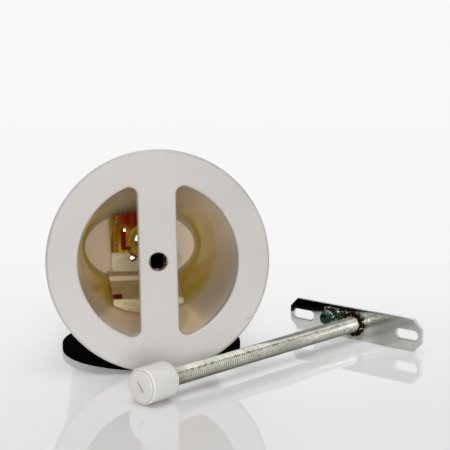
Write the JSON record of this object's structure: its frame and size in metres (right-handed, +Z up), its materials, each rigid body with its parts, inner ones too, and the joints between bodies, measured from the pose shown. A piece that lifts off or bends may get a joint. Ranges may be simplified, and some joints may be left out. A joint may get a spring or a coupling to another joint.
{
  "type": "ceiling pull cord switch",
  "caption": "Glazed ceramic ceiling pull switch: bell housing with barred mouth and rotary insert, on a sealing disc, beside its slotted bracket with threaded rod and cap nut.",
  "frame": {"origin": "middle of the whole laid-out set, on the table", "axes": "+Y along the rod from cap nut to bracket, +X along the bracket, +Z up"},
  "size_m": [0.1968, 0.1592, 0.1039],
  "materials": {
    "plated_steel": "zinc plated",
    "brass_parts": "brass",
    "white_cap": "satin",
    "glazed_ceramic": "white glazed porcelain, opaque",
    "brown_drum": "moulded phenolic",
    "copper": "tarnished copper",
    "black_moulding": "moulded phenolic",
    "brown_phenolic": "moulded phenolic",
    "green_screw": "green passivated",
    "steatite": "unglazed steatite, opaque",
    "dark_steel": "dark spring steel",
    "black_rubber": "matte",
    "nickel": "nickel plated"
  },
  "bodies": {
    "switch_frame": {"base_screws": "plated_steel", "bracket_plate": "plated_steel", "ceramic_housing": "glazed_ceramic", "contact_strip_left": "copper", "contact_strip_right": "copper", "cord_bush": "black_moulding", "cord_guide": "black_moulding", "cover_plate": "brown_phenolic", "cover_screws": "plated_steel", "earth_clamp": "plated_steel", "earth_screw": "green_screw", "hub_clip": "plated_steel", "hub_nut": "brass_parts", "hub_sleeve": "brass_parts", "insert_base": "steatite", "lock_washer": "dark_steel", "loop_terminal": "copper", "return_spring": "plated_steel", "sealing_disc": "black_rubber", "strip_rivets": "nickel", "terminal_line": "brass_parts", "terminal_load": "brass_parts", "terminal_screws": "plated_steel", "threaded_rod": "plated_steel"},
    "lever": {"pull_lever": "plated_steel", "cord_eyelet": "brass_parts", "pawl_pin": "plated_steel", "pawl_spring": "plated_steel"},
    "pawl_arm": {"pawl": "plated_steel"},
    "rotor": {"ratchet_wheel": "plated_steel", "contact_drum": "brown_drum", "moving_contact": "copper"},
    "cap_slider": {"cap_washer": "plated_steel"},
    "cap": {"cap_nut": "white_cap", "cap_insert": "brass_parts"}
  },
  "joints": [
    {"name": "lever_pull", "type": "hinge", "parent": "switch_frame", "child": "lever", "pos_m": [-0.0591, 0.03878, 0.0429], "axis": [0.7521, -0.6538, 0.0831], "range_deg": [0, 45], "stiffness_Nm_per_rad": 0.02, "springref_deg": -28.65},
    {"name": "rotor_turn", "type": "hinge", "parent": "switch_frame", "child": "rotor", "pos_m": [-0.05782, 0.03767, 0.04304], "axis": [0.7521, -0.6538, 0.0831], "range_deg": [0, 45]},
    {"name": "pawl_lift", "type": "hinge", "parent": "lever", "child": "pawl_arm", "pos_m": [-0.0542, 0.04334, 0.05486], "axis": [-0.7521, 0.6538, -0.0831], "range_deg": [0, 12], "stiffness_Nm_per_rad": 0.0005, "springref_deg": -17.19},
    {"name": "cap_travel", "type": "slide", "parent": "switch_frame", "child": "cap_slider", "axis": [0, -1, 0], "range_m": [0, 0.0025]},
    {"name": "cap_turn", "type": "hinge", "parent": "cap_slider", "child": "cap", "pos_m": [0.05744, -0.07184, 0.00825], "axis": [0, -1, 0], "range_deg": [0, 720]}
  ],
  "couplings": [
    {"joint": "rotor_turn", "follows": "lever_pull", "ratio": 1},
    {"joint": "cap_travel", "follows": "cap_turn", "m_per_rad": 0.00019894}
  ]
}
